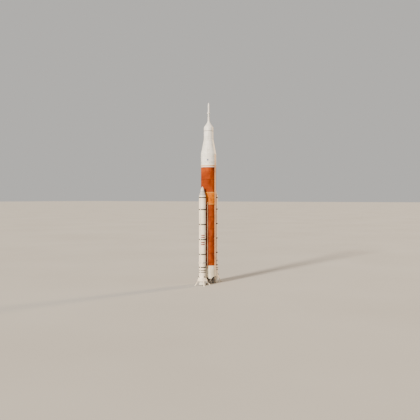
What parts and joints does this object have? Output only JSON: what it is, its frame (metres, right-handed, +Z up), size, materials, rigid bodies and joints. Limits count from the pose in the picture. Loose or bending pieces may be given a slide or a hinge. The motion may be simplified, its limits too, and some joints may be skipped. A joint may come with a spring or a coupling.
{
  "type": "heavy-lift space rocket, 1:10 scale model",
  "caption": "Heavy-lift space rocket with an orange core stage, white side boosters, a crew spacecraft with an abort tower, swivelling engine nozzles and a hinged hatch, on splayed posts.",
  "frame": {"origin": "on the core's axis, on the floor under the posts' feet", "axes": "+Z up along the core; the boosters stand along X; -Y is the front with the systems tunnel, +Y the launch tower's side with the umbilical plates and the hatch"},
  "size_m": [1.9608, 0.91, 10.05],
  "materials": {
    "orange_foam": "sprayed foam, matt dark orange",
    "pale_foam": "sprayed foam, matt pale orange",
    "white_paint": "matt white paint",
    "grey_paint": "matt light grey paint",
    "bare_metal": "heat-stained nickel alloy",
    "dark_metal": "dark alloy",
    "blanket": "matt heat-resistant lining, off-white"
  },
  "bodies": {
    "rocket": {"engine_section": "white_paint", "tail_fairing": "white_paint", "hydrogen_tank": "orange_foam", "intertank": "orange_foam", "oxygen_tank": "orange_foam", "forward_skirt": "white_paint", "systems_tunnel": "pale_foam", "feedline_left": "pale_foam", "feedline_right": "pale_foam", "interstage": "white_paint", "stage_adapter": "white_paint", "spacecraft_adapter": "white_paint", "service_module": "grey_paint", "service_panel_1": "white_paint", "service_panel_2": "white_paint", "service_panel_3": "white_paint", "crew_module": "grey_paint", "abort_fairing": "white_paint", "abort_motor": "white_paint", "jettison_motor": "white_paint", "attitude_motor": "white_paint", "booster_left_support_posts": "white_paint", "booster_left_aft_skirt": "white_paint", "booster_left_aft_segment": "white_paint", "booster_left_center_segment_1": "white_paint", "booster_left_center_segment_2": "white_paint", "booster_left_center_segment_3": "white_paint", "booster_left_forward_segment": "white_paint", "booster_left_forward_skirt": "white_paint", "booster_left_nose_cone": "white_paint", "booster_left_aft_attach": "white_paint", "booster_left_tunnel": "white_paint", "booster_right_support_posts": "white_paint", "booster_right_aft_skirt": "white_paint", "booster_right_aft_segment": "white_paint", "booster_right_center_segment_1": "white_paint", "booster_right_center_segment_2": "white_paint", "booster_right_center_segment_3": "white_paint", "booster_right_forward_segment": "white_paint", "booster_right_forward_skirt": "white_paint", "booster_right_nose_cone": "white_paint", "booster_right_aft_attach": "white_paint", "booster_right_tunnel": "white_paint"},
    "crew_hatch": {"crew_hatch": "white_paint"},
    "engine_front_left_gimbal": {"engine_front_left_gimbal": "bare_metal"},
    "engine_front_left": {"engine_front_left_pumps": "dark_metal", "engine_front_left_nozzle": "bare_metal"},
    "engine_front_right_gimbal": {"engine_front_right_gimbal": "bare_metal"},
    "engine_front_right": {"engine_front_right_pumps": "dark_metal", "engine_front_right_nozzle": "bare_metal"},
    "engine_back_left_gimbal": {"engine_back_left_gimbal": "bare_metal"},
    "engine_back_left": {"engine_back_left_pumps": "dark_metal", "engine_back_left_nozzle": "bare_metal"},
    "engine_back_right_gimbal": {"engine_back_right_gimbal": "bare_metal"},
    "engine_back_right": {"engine_back_right_pumps": "dark_metal", "engine_back_right_nozzle": "bare_metal"},
    "booster_left_nozzle_bearing": {"booster_left_nozzle_bearing": "dark_metal"},
    "booster_left_nozzle": {"booster_left_nozzle": "blanket"},
    "booster_right_nozzle_bearing": {"booster_right_nozzle_bearing": "dark_metal"},
    "booster_right_nozzle": {"booster_right_nozzle": "blanket"}
  },
  "joints": [
    {"name": "crew_hatch_hinge", "type": "hinge", "parent": "rocket", "child": "crew_hatch", "pos_m": [-0.0482, 0.26262, 8.545], "axis": [0, 0, 1], "range_deg": [0, 110]},
    {"name": "engine_front_left_pitch", "type": "hinge", "parent": "rocket", "child": "engine_front_left_gimbal", "pos_m": [-0.185, -0.185, 0.535], "axis": [1, 0, 0], "range_deg": [-8, 8]},
    {"name": "engine_front_left_yaw", "type": "hinge", "parent": "engine_front_left_gimbal", "child": "engine_front_left", "pos_m": [-0.185, -0.185, 0.535], "axis": [0, 1, 0], "range_deg": [-8, 8]},
    {"name": "engine_front_right_pitch", "type": "hinge", "parent": "rocket", "child": "engine_front_right_gimbal", "pos_m": [0.185, -0.185, 0.535], "axis": [1, 0, 0], "range_deg": [-8, 8]},
    {"name": "engine_front_right_yaw", "type": "hinge", "parent": "engine_front_right_gimbal", "child": "engine_front_right", "pos_m": [0.185, -0.185, 0.535], "axis": [0, 1, 0], "range_deg": [-8, 8]},
    {"name": "engine_back_left_pitch", "type": "hinge", "parent": "rocket", "child": "engine_back_left_gimbal", "pos_m": [-0.185, 0.185, 0.535], "axis": [1, 0, 0], "range_deg": [-8, 8]},
    {"name": "engine_back_left_yaw", "type": "hinge", "parent": "engine_back_left_gimbal", "child": "engine_back_left", "pos_m": [-0.185, 0.185, 0.535], "axis": [0, 1, 0], "range_deg": [-8, 8]},
    {"name": "engine_back_right_pitch", "type": "hinge", "parent": "rocket", "child": "engine_back_right_gimbal", "pos_m": [0.185, 0.185, 0.535], "axis": [1, 0, 0], "range_deg": [-8, 8]},
    {"name": "engine_back_right_yaw", "type": "hinge", "parent": "engine_back_right_gimbal", "child": "engine_back_right", "pos_m": [0.185, 0.185, 0.535], "axis": [0, 1, 0], "range_deg": [-8, 8]},
    {"name": "booster_left_nozzle_pitch", "type": "hinge", "parent": "rocket", "child": "booster_left_nozzle_bearing", "pos_m": [-0.636, 0, 0.44], "axis": [1, 0, 0], "range_deg": [-5, 5]},
    {"name": "booster_left_nozzle_yaw", "type": "hinge", "parent": "booster_left_nozzle_bearing", "child": "booster_left_nozzle", "pos_m": [-0.636, 0, 0.44], "axis": [0, 1, 0], "range_deg": [-5, 5]},
    {"name": "booster_right_nozzle_pitch", "type": "hinge", "parent": "rocket", "child": "booster_right_nozzle_bearing", "pos_m": [0.636, 0, 0.44], "axis": [1, 0, 0], "range_deg": [-5, 5]},
    {"name": "booster_right_nozzle_yaw", "type": "hinge", "parent": "booster_right_nozzle_bearing", "child": "booster_right_nozzle", "pos_m": [0.636, 0, 0.44], "axis": [0, 1, 0], "range_deg": [-5, 5]}
  ]
}
